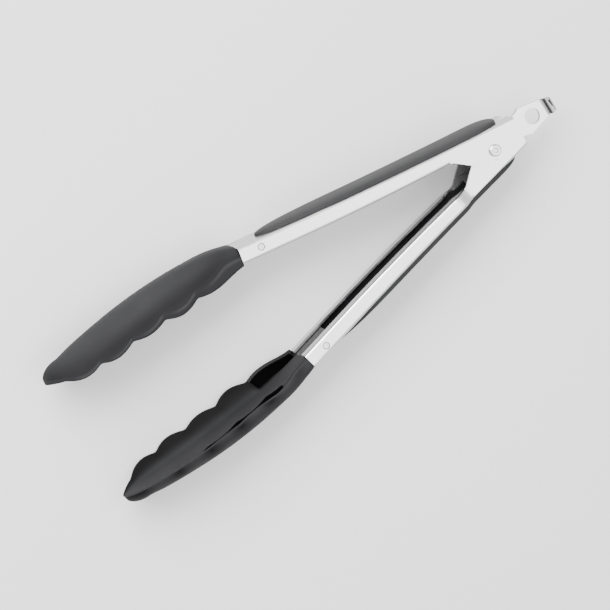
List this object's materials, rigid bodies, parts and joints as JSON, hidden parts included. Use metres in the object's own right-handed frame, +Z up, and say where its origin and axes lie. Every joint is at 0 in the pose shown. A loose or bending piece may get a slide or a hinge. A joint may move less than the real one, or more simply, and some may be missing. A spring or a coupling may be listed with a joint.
{
  "type": "spring loaded locking kitchen tongs",
  "caption": "Spring loaded locking kitchen tongs: sprung steel channel arms with soft grips and scalloped silicone spoon heads, with a sliding lock tab to hang them by.",
  "frame": {"origin": "centre of the bounding box in plan, at its lowest point; the tongs lie on their side with the arms open", "axes": "+X from the head tips to the hanging tab, +Y toward the upper arm, +Z up along the hinge axis"},
  "size_m": [0.2392, 0.0734, 0.0289],
  "materials": {
    "brushed_arm_steel": "satin brushed along the arm",
    "tab_steel": "satin",
    "rivet_steel": "satin, dimpled head",
    "pin_steel": "satin, dimpled end",
    "spring_steel": "drawn wire",
    "soft_grip": "matte soft touch",
    "head_silicone": "satin silicone",
    "head_core_nylon": "satin nylon",
    "liner_plastic": "black, slightly glossy",
    "washer_nylon": "natural nylon"
  },
  "bodies": {
    "hinge": {"pivot_rivet": "rivet_steel", "washer_near": "washer_nylon", "washer_far": "washer_nylon", "bush_near": "washer_nylon", "bush_far": "washer_nylon", "torsion_spring": "spring_steel"},
    "upper": {"upper_arm": "brushed_arm_steel", "upper_grip": "soft_grip", "upper_liner": "liner_plastic", "upper_head_core": "head_core_nylon", "upper_head_skin": "head_silicone", "upper_head_pin": "pin_steel"},
    "lower": {"lower_arm": "brushed_arm_steel", "lower_grip": "soft_grip", "lower_liner": "liner_plastic", "lower_head_core": "head_core_nylon", "lower_head_skin": "head_silicone", "lower_head_pin": "pin_steel"},
    "tab": {"lock_tab": "tab_steel"}
  },
  "joints": [
    {"name": "upper_arm_close", "type": "hinge", "parent": "hinge", "child": "upper", "pos_m": [0.08479, 0, 0.01444], "axis": [0, 0, 1], "range_deg": [0, 7.4], "stiffness_Nm_per_rad": 1, "springref_deg": -8.59, "deforming": ["torsion_spring"]},
    {"name": "lower_arm_close", "type": "hinge", "parent": "hinge", "child": "lower", "pos_m": [0.08479, 0, 0.01444], "axis": [0, 0, -1], "range_deg": [0, 7.4], "stiffness_Nm_per_rad": 1, "springref_deg": -8.59},
    {"name": "lock_tab_slide", "type": "slide", "parent": "hinge", "child": "tab", "axis": [-1, 0, 0], "range_m": [0, 0.0075]}
  ],
  "couplings": [
    {"joint": "lower_arm_close", "follows": "upper_arm_close", "ratio": 1}
  ]
}
